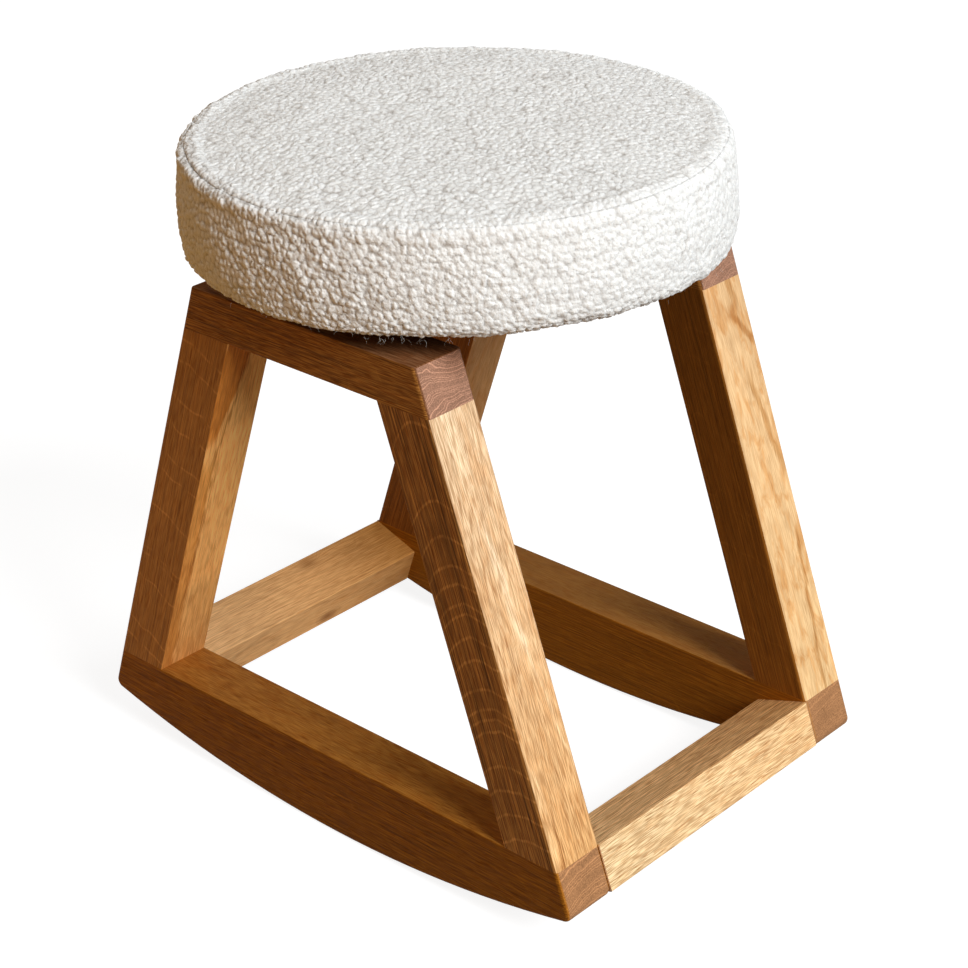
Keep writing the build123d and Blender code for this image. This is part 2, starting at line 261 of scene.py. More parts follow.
def oak(node, along, broad, edge, origin, pith, broad_low, broad_high, edge_tone_and_shade, end_tone, *,
        ring, seed, figure, crisp, line_depth=0.55, ripple=0.0, arches=None, flecks=None,
        knots=(), streaks=()):
    """Oak for one member. Its own axes, in millimetres from origin, are u with the grain, v across
    it out of the broad faces, on which the rings run nearly flat, and w out of the edge faces,
    which show them as straight lines and carry the ray flecks. pith is where the middle of the
    tree lies, as (v, w), and ring is the width of one ring. The broad faces go from broad_low to
    broad_high along u, over the member's length, and so do the edge faces if their tone is a pair.
    figure sets the reddish clouds, crisp the fibre and pores, line_depth the lines on the edge
    faces, and ripple the small waves of the rings.
    arches: u of every pale arch, bow and slant at the foot and at the head, and v of their crowns.
    flecks: how far apart they lie, their slant, their waves and their strength.
    knots: each is u, v, w, size and how dark it is.
    streaks: longer marks on the broad faces, from (u, w) to (u, w), half width and the factor on
    the tone."""
    material, g = new_material("oak_" + node)
    place = g.node("ShaderNodeTexCoord")
    here = g.vector("SCALE", place.outputs["Object"], scale=1000.0)
    here = g.vector("SUBTRACT", here, origin)
    u, v, w = [g.vector("DOT_PRODUCT", here, axis) for axis in (along, broad, edge)]

    def looks_along(axis, low, high):
        """1 on the faces that look along the axis, and 0 on the others."""
        turned = g.vector("DOT_PRODUCT", place.outputs["Normal"], axis)
        return g.ramp(g.math("ABSOLUTE", turned), low, high)

    def scaled(by_u, by_v, by_w, shift):
        """Places in a noise that is stretched like this, elsewhere for each seed and shift."""
        return g.join(g.math("MULTIPLY_ADD", u, by_u, shift + 17.3 * seed),
                      g.math("MULTIPLY_ADD", v, by_v, 5.1 * shift + 3.7 * seed),
                      g.math("MULTIPLY_ADD", w, by_w, 2.9 * shift + 7.9 * seed))

    def wavy(value, size, detail, *stretch_and_shift):
        """The value, moved to and fro by smooth noise."""
        noise = g.noise(scaled(*stretch_and_shift), detail=detail)
        return g.math("MULTIPLY_ADD", g.sub(noise, 0.5), size, value)

    on_end = looks_along(along, 0.80, 0.93)
    on_edge = looks_along(edge, 0.68, 0.74)

    # the rings, which wander, taper and bend round knots
    wander_by, taper = 9.0, 0.03
    wander = g.node("ShaderNodeTexNoise", Vector=scaled(0.009, 0.022, 0.022, 0.0), Scale=1.0,
                    Detail=1.5, Roughness=0.5).outputs["Color"]
    wander_v, wander_w, _ = g.split(g.vector("SUBTRACT", wander, (0.5, 0.5, 0.5)))
    out_v = g.math("MULTIPLY_ADD", wander_v, wander_by, g.sub(v, float(pith[0])))
    out_w = g.math("MULTIPLY_ADD", wander_w, wander_by, g.sub(w, float(pith[1])))
    radius = g.math("SQRT", g.add(g.mul(out_v, out_v), g.mul(out_w, out_w)))
    radius = g.math("MULTIPLY_ADD", u, taper, radius)
    knot_dark = None
    for at_u, at_v, at_w, size, dark in knots:
        off = g.join(g.mul(g.sub(u, at_u), 0.5), g.sub(v, at_v), g.sub(w, at_w))
        near = g.ramp(g.vector("LENGTH", off), size * 2.2, 0.0)
        radius = g.math("MULTIPLY_ADD", near, size * 1.6, radius)
        dim = g.mul(g.math("POWER", near, 2.0), dark)
        knot_dark = dim if knot_dark is None else g.math("MAXIMUM", knot_dark, dim)
    if ripple:
        radius = wavy(radius, ripple, 1.5, 0.05, 0.13, 0.13, 11.0)
    vary = g.noise(g.mul(radius, 0.16), dims="1D", detail=1.0)
    turn = g.math("MULTIPLY_ADD", g.sub(vary, 0.5), 2.4, g.math("DIVIDE", radius, ring))
    part = g.math("FRACT", turn)
    early = g.mul(g.ramp(part, 0.0, 0.16), g.ramp(part, 0.24, 0.66, 1.0, 0.0))

    # fibre, pores and slow changes of tone
    fibre = g.noise(scaled(0.085, 1.65, 1.65, 1.0), detail=0.0)
    fine = g.sub(g.ramp(fibre, 0.36, 0.64, smooth=False), 0.5)
    dash = g.noise(scaled(0.11, 1.3, 1.3, 2.0), detail=0.0)
    pore = g.mul(g.ramp(dash, 0.56, 0.66), g.math("MULTIPLY_ADD", early, 0.5, 0.5))
    blotch = g.noise(scaled(0.013, 0.06, 0.06, 3.0), detail=2.0, distortion=0.4)
    cloud = g.noise(scaled(0.040, 0.13, 0.13, 4.0), detail=3.0, rough=0.62, distortion=0.8)
    thread = g.vector("SCALE", (0.36, 0.46, 0.56), scale=g.mul(fine, 1.6 * crisp))
    thread = g.vector("ADD", thread, (1.0, 1.0, 1.0))
    shade = g.mul(g.sub(blotch, 0.5), g.math("MULTIPLY_ADD", on_edge, -0.22, 0.36))
    shade = g.add(shade, 1.05)
    shade = g.math("MULTIPLY_ADD", early, -0.07, shade)

    # broad faces: a tone along the member, with reddish clouds where the rings run out; on the
    # top rails that tone darkens towards +X, a painted shadow of the pad
    reach = 180.0 if along[0] else 110.0          # half of a rail, along the stool or across it
    start, stop = (-10.0, 290.0) if along[2] else (-reach, reach)
    length = g.ramp(u, start, stop, smooth=False)
    tone = g.mix(length, broad_low, broad_high)
    # on the front legs a pair of edge tones paints them darker towards the head: painted shade
    # under the pad
    if isinstance(edge_tone_and_shade[0], tuple):
        edge_tone_and_shade = g.mix(length, *edge_tone_and_shade)
    reddish = g.mul(g.ramp(g.math("MULTIPLY_ADD", fine, 0.10, cloud), 0.47, 0.66), figure)
    tone = g.mix(reddish, tone, g.vector("MULTIPLY", tone, REDDISH))
    for (u0, w0), (u1, w1), half, factor in streaks:
        run = g.sub(w, g.ramp(u, float(u0), float(u1), float(w0), float(w1), smooth=False))
        run = wavy(run, 9.0, 2.0, 0.035, 0.05, 0.05, 12.0)
        band = g.ramp(g.math("MULTIPLY_ADD", fine, 1.2, g.math("ABSOLUTE", run)),
                      half + 1.6, max(half - 1.2, 0.0))
        part_of = g.mul(g.ramp(u, u0 - 14.0, u0 + 6.0), g.ramp(u, u1 + 14.0, u1 - 6.0))
        tone = g.mix(g.mul(band, part_of), tone, g.vector("MULTIPLY", tone, factor))
    # edge faces: their own tone, painted dark on the legs, rockers and top rails as painted shade
    # on the faces turned from the lamp, with straight lines and pale rays across them
    lines = g.noise(scaled(0.012, 1.05, 0.20, 5.0), detail=2.0, rough=0.7)
    lines = g.ramp(lines, 0.26, 0.74, -0.8, 0.8, smooth=False)
    side = g.vector("SCALE", edge_tone_and_shade, scale=g.math("MULTIPLY_ADD", lines, line_depth, 1.0))
    ray = None
    if arches:
        # each pale line is an arch over the width of the face, flatter and more slanted low down
        places, bow_low, bow_high, slant_low, slant_high, middle = arches
        head = 280.0
        rise = g.ramp(u, 0.0, head, bow_low, bow_high, smooth=False)
        slant = g.ramp(u, 0.0, head, slant_low, slant_high, smooth=False)
        off = g.sub(v, middle)
        bent = g.math("MULTIPLY_ADD", g.mul(off, off), rise, g.math("MULTIPLY_ADD", off, slant, u))
        bent = wavy(bent, 6.0, 2.0, 0.02, 0.07, 0.07, 6.0)
        gap = None
        for at in places:
            far = g.math("ABSOLUTE", g.sub(bent, float(at)))
            gap = far if gap is None else g.math("MINIMUM", gap, far)
        ray = g.ramp(gap, 1.5, 0.3)
        ray = g.mul(ray, g.ramp(g.noise(scaled(0.05, 0.16, 0.16, 7.0), detail=1.0),
                                0.30, 0.60, 0.26, 0.54))
    if flecks:
        spacing, slant, wave, strength = flecks
        bent = wavy(g.math("MULTIPLY_ADD", v, slant, u), wave, 1.0, 0.02, 0.05, 0.05, 8.0)
        cells = g.node("ShaderNodeTexVoronoi", {"voronoi_dimensions": "1D"},
                       W=g.math("DIVIDE", bent, spacing), Scale=1.0, Randomness=1.0)
        thin = g.ramp(g.mul(cells.outputs["Distance"], spacing), 1.4, 0.3)
        broken = g.ramp(g.noise(scaled(0.04, 0.08, 0.08, 9.0), detail=1.5), 0.38, 0.58)
        thin = g.mul(g.mul(thin, broken), strength)
        ray = thin if ray is None else g.math("MAXIMUM", ray, thin)
    if ray is not None:
        side = g.mix(ray, side, g.vector("MULTIPLY", side, ON_RAYS))
    tone = g.mix(on_edge, tone, side)
    grain = g.vector("MULTIPLY", g.vector("SCALE", tone, scale=shade), thread)
    grain = g.mix(g.mul(pore, 0.9 * crisp), grain, g.vector("MULTIPLY", grain, IN_PORES))
    # ends: darker, with thin pale rings and open pores
    pale = g.mul(g.ramp(part, 0.62, 0.80), g.ramp(part, 0.98, 0.86))
    dots = g.noise(scaled(0.3, 1.2, 1.2, 10.0), detail=2.0, rough=0.65)
    cut = g.math("MULTIPLY_ADD", g.sub(g.ramp(dots, 0.36, 0.64), 0.5), 0.40, 0.90)
    cut = g.math("MULTIPLY_ADD", pale, 0.75 * crisp, cut)
    cut = g.math("MULTIPLY_ADD", g.sub(blotch, 0.5), 0.5, cut)
    end = g.vector("SCALE", end_tone, scale=cut)
    colour = g.mix(on_end, grain, end)
    if knot_dark is not None:
        colour = g.mix(knot_dark, colour, g.vector("MULTIPLY", colour, IN_KNOTS))
    rough = g.math("MULTIPLY_ADD", pore, 0.15, g.math("MULTIPLY_ADD", fibre, 0.10, 0.50))
    height = g.math("MULTIPLY_ADD", pore, -0.8, fibre)
    bump = g.bump(height, 0.30, 0.0003)
    g.output(principled(g, Base_Color=colour, Roughness=rough, Specular_IOR_Level=0.05,
                        Specular_Tint=(1.0, 0.78, 0.55, 1), Normal=bump))
    dress(node, material)


def oak_frame():
    """Every member of the two side frames and the cross rails, each cut from its own board."""
    axis_x, axis_y, axis_z = (1, 0, 0), (0, 1, 0), (0, 0, 1)
    up_front, out_front = (-SIN, 0, COS), (COS, 0, SIN)
    up_back, out_back = (SIN, 0, COS), (-COS, 0, SIN)
    # millimetres: the middle of a leg's foot and of a side frame, and the height of the middle of
    # the cross rails, the rockers and the top rails
    foot_x, foot_z, side_y = 180.8, 59, 128
    cross_z, rocker_z, top_z = 43, 20, 346
    near_end, far_end = (0.38, 0.22, 0.15), (0.36, 0.22, 0.15)
    # the edge-face tones of the legs, rockers and top rails are painted dark: painted shade on the
    # faces turned from the lamp
    oak("near_front_leg", up_front, out_front, axis_y, (foot_x, -side_y, foot_z), (-64, 9),
        (0.65, 0.365, 0.150), (0.69, 0.49, 0.305), ((0.315, 0.138, 0.036), (0.25, 0.108, 0.029)),
        near_end, ring=2.0, seed=1.0, figure=0.55, crisp=0.85, line_depth=1.05,
        arches=((281, 232, 210, 192, 180, 167, 160, 145, 131, 113, 100, 93, 85, 62, 46, 29, 12),
                0.010, 0.032, 0.20, 0.0, 5.0),
        streaks=(((136, 5), (213, -2), 2.6, (1.14, 1.26, 1.42)),
                 ((41, 18), (136, 5), 0.7, (1.14, 1.26, 1.42)),
                 ((240, -4), (300, -8), 5.0, (1.08, 1.14, 1.2)),
                 ((-20, -17), (60, -17), 3.2, (1.14, 1.24, 1.38)),
                 ((-20, -12), (24, -12.5), 0.5, (0.55, 0.45, 0.36))))
    oak("near_back_leg", up_back, out_back, axis_y, (-foot_x, -side_y, foot_z), (52, 14),
        (0.69, 0.335, 0.105), (1.0, 0.57, 0.19), (0.375, 0.168, 0.046),
        near_end, ring=2.6, seed=2.0, figure=0.4, crisp=0.5, line_depth=0.4,
        flecks=(24.0, -0.05, 12.0, 0.34),
        streaks=(((84, 0), (216, 0), 24.0, (1.22, 1.22, 1.24)),
                 ((214, -27), (320, 2), 13.0, (0.68, 0.46, 0.26)),
                 ((195, -10), (290, 4), 0.9, (0.62, 0.52, 0.42)),
                 ((-20, -18), (190, -17), 7.5, (0.76, 0.63, 0.46)),
                 ((70, -12), (190, -6), 0.6, (0.70, 0.60, 0.50))))
    oak("far_front_leg", up_front, out_front, axis_y, (foot_x, side_y, foot_z), (-46, -8),
        (0.75, 0.50, 0.25), (0.68, 0.45, 0.24), ((0.29, 0.11, 0.017), (0.17, 0.062, 0.009)),
        far_end, ring=3.4, seed=3.0, figure=1.0, crisp=0.35, flecks=(34.0, 0.5, 26.0, 0.12),
        streaks=(((232, 22), (258, 2), 2.6, (0.74, 0.60, 0.46)),
                 ((268, 8), (300, 2), 3.0, (0.78, 0.66, 0.52)),
                 ((150, 16), (212, 4), 2.4, (0.74, 0.62, 0.48)),
                 ((-10, 2), (100, 12), 1.2, (0.72, 0.60, 0.46))))
    oak("far_back_leg", up_back, out_back, axis_y, (-foot_x, side_y, foot_z), (58, 6),
        (0.50, 0.25, 0.09), (0.50, 0.26, 0.10), (0.235, 0.087, 0.018),
        far_end, ring=2.8, seed=4.0, figure=0.7, crisp=0.35, flecks=(30.0, 0.7, 26.0, 0.15))
    for side, y, seed, rocker_tones, rocker_crisp, rail_crisp, rail_knots in (
            ("near", -side_y, 5.0,
             ((0.345, 0.137, 0.025), (0.41, 0.168, 0.024), (0.24, 0.084, 0.008)),
             0.7, 0.95, ((98, 16, 14, 15, 0.8),)),
            ("far", side_y, 6.0,
             ((0.23, 0.09, 0.017), (0.44, 0.205, 0.048), (0.33, 0.118, 0.011)),
             0.35, 0.4, ())):
        oak(side + "_rocker", axis_x, axis_z, axis_y, (0, y, rocker_z), (-58, 12), *rocker_tones,
            (0.375, 0.185, 0.084), ring=3.0, seed=seed, figure=0.5, crisp=rocker_crisp,
            line_depth=0.6, ripple=3.0, flecks=(70.0, 1.4, 26.0, 0.15))
        # the top rails' broad tone falls towards +X: a painted shadow of the pad over the ends
        # that show
        oak(side + "_top_rail", axis_x, axis_z, axis_y, (0, y, top_z), (-75, 22),
            (0.42, 0.20, 0.08), (0.107, 0.040, 0.019), (0.275, 0.118, 0.027),
            (0.348, 0.187, 0.124), ring=2.7, seed=seed + 2, figure=0.6, crisp=rail_crisp,
            line_depth=0.7, ripple=5.0, flecks=(60.0, 0.5, 26.0, 0.15), knots=rail_knots)
    oak("front_cross_rail", axis_y, out_front, up_front, (foot_x, 0, cross_z), (-70, 18),
        (0.71, 0.515, 0.29), (0.73, 0.475, 0.24), ((0.86, 0.55, 0.27), (0.62, 0.34, 0.135)),
        near_end, ring=2.6, seed=9.0, figure=0.35, crisp=0.9, line_depth=0.35)
    oak("back_cross_rail", axis_y, out_back, up_back, (-foot_x, 0, cross_z), (-66, -12),
        (0.77, 0.45, 0.20), (0.43, 0.205, 0.062), ((0.78, 0.46, 0.215), (0.37, 0.16, 0.037)),
        near_end, ring=3.6, seed=10.0, figure=0.4, crisp=0.4, line_depth=0.2,
        knots=((27, 19, 8, 5, 0.7), (20, -17, -14, 4.4, 1.0), (67, 13, 8, 5, 0.3)))


# ---- other finishes -------------------------------------------------------------------------

def millimetres(g):
    return g.vector("SCALE", g.node("ShaderNodeTexCoord").outputs["Object"], scale=1000.0)


def beech():
    """Dowel stock: pale, with short fine flecks."""
    material, g = new_material("beech")
    here = millimetres(g)
    fleck = g.ramp(g.noise(g.vector("MULTIPLY", here, (0.9, 0.9, 0.9)), detail=2.0), 0.55, 0.72)
    tone = g.noise(here, scale=0.12, detail=2.0)
    colour = g.mix(tone, (0.66, 0.46, 0.29), (0.58, 0.39, 0.23))
    colour = g.mix(fleck, colour, (0.47, 0.29, 0.16))
    g.output(principled(g, Base_Color=colour, Roughness=0.6, Specular_IOR_Level=0.3,
                        Normal=g.bump(tone, 0.2, 0.0003)))
    return material


def plywood():
    """Birch plywood: a pale long-grained face, and edges of alternating light and dark plies."""
    ply = 1.5
    material, g = new_material("plywood")
    place = g.node("ShaderNodeTexCoord")
    here = g.vector("SCALE", place.outputs["Object"], scale=1000.0)
    x, y, z = g.split(here)
    streak = g.noise(g.join(g.mul(x, 0.02), g.mul(y, 0.30), g.mul(z, 0.3)), detail=3.0,
                     distortion=0.6)
    face = g.mix(streak, (0.70, 0.54, 0.36), (0.60, 0.43, 0.26))
    layer = g.math("PINGPONG", g.math("DIVIDE", z, ply), 1.0)
    dots = g.noise(g.vector("MULTIPLY", here, (0.8, 0.8, 3.0)), detail=2.0)
    rim = g.mix(g.ramp(layer, 0.35, 0.65), (0.63, 0.46, 0.29), (0.42, 0.26, 0.14))
    rim = g.mix(g.mul(dots, 0.5), rim, (0.30, 0.19, 0.10))
    flat = g.ramp(g.math("ABSOLUTE", g.split(place.outputs["Normal"])[2]), 0.6, 0.9)
    g.output(principled(g, Base_Color=g.mix(flat, rim, face), Roughness=0.62,
                        Specular_IOR_Level=0.25, Normal=g.bump(streak, 0.25, 0.0003)))
    return material


def steel(name, colour, rough):
    """Bright fixings with fine turning marks and dull spots."""
    material, g = new_material(name)
    here = millimetres(g)
    marks = g.noise(g.vector("MULTIPLY", here, (1.0, 1.0, 9.0)), detail=2.0)
    dull = g.noise(here, scale=0.6, detail=3.0)
    tint = g.mix(dull, colour, tuple(c * 0.72 for c in colour))
    rough = g.math("MULTIPLY_ADD", g.sub(marks, 0.5), 0.25, rough)
    g.output(principled(g, Base_Color=tint, Metallic=1.0, Roughness=rough,
                        Normal=g.bump(marks, 0.2, 0.0001)))
    return material


def dust_cloth():
    """Thin black cloth of pressed fibres, with a grid of small bonding points."""
    material, g = new_material("dust_cloth")
    here = millimetres(g)
    x, y, _ = g.split(here)
    across = 0.55
    cell = g.mul(g.math("PINGPONG", g.mul(g.add(x, y), across), 1.0),
                 g.math("PINGPONG", g.mul(g.sub(x, y), across), 1.0))
    spot = g.ramp(cell, 0.55, 0.85)
    strand = g.noise(here, scale=1.3, detail=3.0, distortion=2.0)
    colour = g.mix(g.ramp(strand, 0.45, 0.7), (0.014, 0.014, 0.016), (0.045, 0.045, 0.048))
    colour = g.mix(spot, colour, (0.010, 0.010, 0.012))
    height = g.math("MULTIPLY_ADD", spot, -0.7, strand)
    g.output(principled(g, Base_Color=colour, Roughness=0.85, Specular_IOR_Level=0.3,
                        Normal=g.bump(height, 0.5, 0.0004)))
    return material


def stuffing(name, light, dark, scale):
    """Foam or wadding: open cells or loose fibres."""
    material, g = new_material(name)
    here = millimetres(g)
    cell = g.node("ShaderNodeTexVoronoi", Vector=here, Scale=scale).outputs["Distance"]
    fibre = g.noise(here, scale=scale * 0.6, detail=3.0, distortion=1.5)
    colour = g.mix(g.ramp(g.mul(cell, fibre), 0.1, 0.5), light, dark)
    g.output(principled(g, Base_Color=colour, Roughness=0.95, Specular_IOR_Level=0.1,
                        Normal=g.bump(cell, 0.5, 0.0006)))
    return material


def boucle():
    """Looped off-white cloth: pale loops over warmer ground, each loop of fine twisted yarn. The
    darker gaps are partly real ground and partly painted shade.
    """
    material, g = new_material("boucle")
    here = millimetres(g)
    nub = g.node("ShaderNodeAttribute", {"attribute_name": "nub"}).outputs["Fac"]
    curl = g.node("ShaderNodeTexVoronoi", {"feature": "SMOOTH_F1"}, Vector=here, Scale=0.62,
                  Smoothness=0.5).outputs["Distance"]
    yarn = g.noise(here, scale=1.4, detail=3.0, distortion=2.5)
    tone = g.noise(here, scale=0.035, detail=2.0)
    # the ground colour, where the value is low in the gaps between loops, is partly painted shade
    depth = g.math("MULTIPLY_ADD", g.sub(yarn, 0.5), 0.30, nub)
    colour = g.mix(g.ramp(depth, 0.0, 0.85), (0.515, 0.495, 0.475), (0.88, 0.90, 0.905))
    colour = g.mix(g.mul(tone, 0.2), colour, g.vector("MULTIPLY", colour, (0.96, 0.95, 0.93)))
    height = g.math("MULTIPLY_ADD", curl, -1.0, g.mul(yarn, 0.6))
    g.output(principled(g, Base_Color=colour, Roughness=0.9, Specular_IOR_Level=0.1,
                        Subsurface_Weight=0.2, Subsurface_Radius=(1.0, 0.95, 0.9),
                        Subsurface_Scale=0.0022, Sheen_Weight=0.1, Sheen_Roughness=0.5,
                        Normal=g.bump(height, 0.6, 0.0009)))
    return material


# ---- smooth random fields -------------------------------------------------------------------

class Field:
    """Smooth noise from -1 to 1 at points in millimetres, with grains of the given size."""

    def __init__(self, seed, grain, size=32):
        self.table = np.random.default_rng(seed).random((size, size, size)) * 2 - 1
        self.grain, self.size = grain, size

    def __call__(self, points):
        q = points / self.grain
        low = np.floor(q).astype(int)
        t = q - low
        t = t * t * (3 - 2 * t)
        total = np.zeros(len(points))
        for corner in range(8):
            step = np.array([(corner >> k) & 1 for k in range(3)])
            at = (low + step) % self.size
            weight = np.prod(np.where(step, t, 1 - t), axis=1)
            total += weight * self.table[at[:, 0], at[:, 1], at[:, 2]]
        return total


def loops(across, along, seed, around=160):
    """Height of round loops of yarn packed side by side, about one to each unit square of the
    cloth, in the same units. Every other row is set over by half a loop, and narrow gaps are left
    between them all. The pattern repeats across after as many units as around says."""
    random = np.random.default_rng(seed)
    rows = 160
    shape = (around, rows)
    middle_a, middle_b = random.random(shape) * 0.76 + 0.12, random.random(shape) * 0.76 + 0.12
    size, lift = 0.50 + 0.28 * random.random(shape), 0.62 + 0.38 * random.random(shape)
    spin, slim = random.random(shape) * math.pi, 1.0 + 0.18 * random.random(shape)
    low_a, low_b = np.floor(across).astype(int), np.floor(along).astype(int)
    nearest, second = np.full(len(across), 9.0), np.full(len(across), 9.0)
    high = np.zeros(len(across))
    for step_a, step_b in np.ndindex(4, 3):
        cell_a, cell_b = low_a + step_a - 2, low_b + step_b - 1
        at = cell_a % around, cell_b % rows
        off_a = across - cell_a - middle_a[at] - 0.5 * (cell_b % 2)
        off_b = along - cell_b - middle_b[at]
        turn_a = off_a * np.cos(spin[at]) + off_b * np.sin(spin[at])
        turn_b = off_b * np.cos(spin[at]) - off_a * np.sin(spin[at])
        away = np.hypot(turn_a / slim[at], turn_b * slim[at]) / size[at]
        second = np.minimum(second, np.maximum(away, nearest))
        high = np.where(away < nearest, lift[at], high)
        nearest = np.minimum(nearest, away)
    ball = np.sqrt(np.clip(1 - (nearest / 1.25) ** 2, 0, 1))
    gap = np.clip((second - nearest) / 0.75, 0, 1)
    return np.maximum(high * np.minimum(ball, np.sqrt(gap * (2 - gap))), 0.16)


# ---- pad ------------------------------------------------------------------------------------

PAD_MIDDLE = np.array((-4.6, -4.2))
PAD_RADIUS, PAD_LOW, PAD_RIM, PAD_CROWN = 172.2, 375.2, 447.2, 1.4
TOP_ROUND, SEAM_ANGLE = 14.0, math.radians(50)
BELLY = 1.5                       # how far the side swells out half way down
DRAWN_IN = 1.8                    # how much less the radius is at the top of the side
UNDER_EDGE = 7.0                  # how far the band runs in under the pad
UNDER_RISE = 2.6                  # how far the cloth rises there
TURNED_TO = 132.0                 # inner edge of the cover turned under the pad
TUCK = 2.6                        # how deep the edges of the cloth go in at the seam
LOOP = 4.5                        # how far apart the loops of the cloth are


def bottom_round(angle):
    """The lower edge is softer towards +X."""
    return 5.5 + 6.0 * np.clip(np.cos(angle), 0, 1) ** 2


def side_point(angle, share):
    """A point on the side band, from the seam at share 0 down and under to share 1, and which way
    the surface faces there: (radius, height), (outward, upward), distance from the seam in mm."""
    round_low = bottom_round(angle)
    first = TOP_ROUND * SEAM_ANGLE
    second = first + PAD_RIM - TOP_ROUND - PAD_LOW - round_low
    third = second + round_low * math.pi / 2
    s = share * (third + UNDER_EDGE)
    a = np.where(s < first, SEAM_ANGLE - s / TOP_ROUND,
                 np.clip((second - s) / round_low, -math.pi / 2, 0.0))
    radius = np.where(a > 0, PAD_RADIUS - TOP_ROUND + TOP_ROUND * np.cos(a),
                      PAD_RADIUS - round_low + round_low * np.cos(a) - np.clip(s - third, 0, 99))
    height = np.where(a > 0, PAD_RIM - TOP_ROUND + TOP_ROUND * np.sin(a),
                      np.where(s < second, PAD_RIM - TOP_ROUND - (s - first),
                               PAD_LOW + round_low + round_low * np.sin(a)))
    radius = radius + BELLY * np.sin(math.pi * np.clip(s / third, 0, 1)) ** 2
    radius = radius - DRAWN_IN * np.clip((height - 400.0) / 40.0, 0, 1)
    height = height + UNDER_RISE * np.clip((s - third) / UNDER_EDGE, 0, 1)
    return radius, height, np.cos(a), np.sin(a), s


def top_point(share):
    """The same for the top panel, from the middle at share 0 to the seam at share 1."""
    flat = PAD_RADIUS - DRAWN_IN - TOP_ROUND
    whole = flat + TOP_ROUND * (math.pi / 2 - SEAM_ANGLE)
    s = share * whole
    a = np.where(s < flat, math.pi / 2, math.pi / 2 - (s - flat) / TOP_ROUND)
    radius = np.where(s < flat, s, flat + TOP_ROUND * np.cos(a))
    height = np.where(s < flat, PAD_RIM + PAD_CROWN * (1 - (s / flat) ** 2),
                      PAD_RIM - TOP_ROUND + TOP_ROUND * np.sin(a))
    return radius, height, np.cos(a), np.sin(a), whole - s


def in_space(angle, radius, height):
    """Polar places on the pad as points in millimetres. The soft pad bulges a little towards the
    far front, its lower edge hangs lower there, and its top leans to the near side."""
    bulges_to, sags_at = 0.75, 0.42    # radians from +X towards +Y
    bulge = 4.8 * np.clip(np.cos(angle - bulges_to), 0, 1) ** 2
    wide = radius + bulge * np.clip((radius - 60.0) / 112.0, 0, 1) ** 3
    x, y = wide * np.cos(angle), wide * np.sin(angle)
    lean = (0.018 * y - 0.004 * x) * np.clip((height - PAD_LOW) / 70.0, 0, 1)
    beside = np.angle(np.exp(1j * (angle - sags_at)))
    sag = 3.4 * np.exp(-(beside / 0.62) ** 2)
    sag = sag * np.clip((radius - 158.0) / 10.0, 0, 1) * np.clip((425.0 - height) / 45.0, 0, 1)
    return np.stack([x + PAD_MIDDLE[0], y + PAD_MIDDLE[1], height + lean - sag], axis=-1)


def new_piece(name, points, faces):
    """A smoothly shaded mesh object from points in millimetres."""
    mesh = bpy.data.meshes.new(name)
    mesh.from_pydata((points * MM).tolist(), [], faces)
    mesh.polygons.foreach_set("use_smooth", [True] * len(mesh.polygons))
    piece = bpy.data.objects.new(name, mesh)
    bpy.context.scene.collection.objects.link(piece)
    return piece


def grid_faces(rows, columns, wrap):
    """Quads between the points of a grid, as rows of four indices."""
    row, column = np.meshgrid(np.arange(rows - 1), np.arange(columns if wrap else columns - 1),
                              indexing="ij")
    after = (column + 1) % columns
    return np.stack([row * columns + column, (row + 1) * columns + column,
                     (row + 1) * columns + after, row * columns + after], axis=-1).reshape(-1, 4)


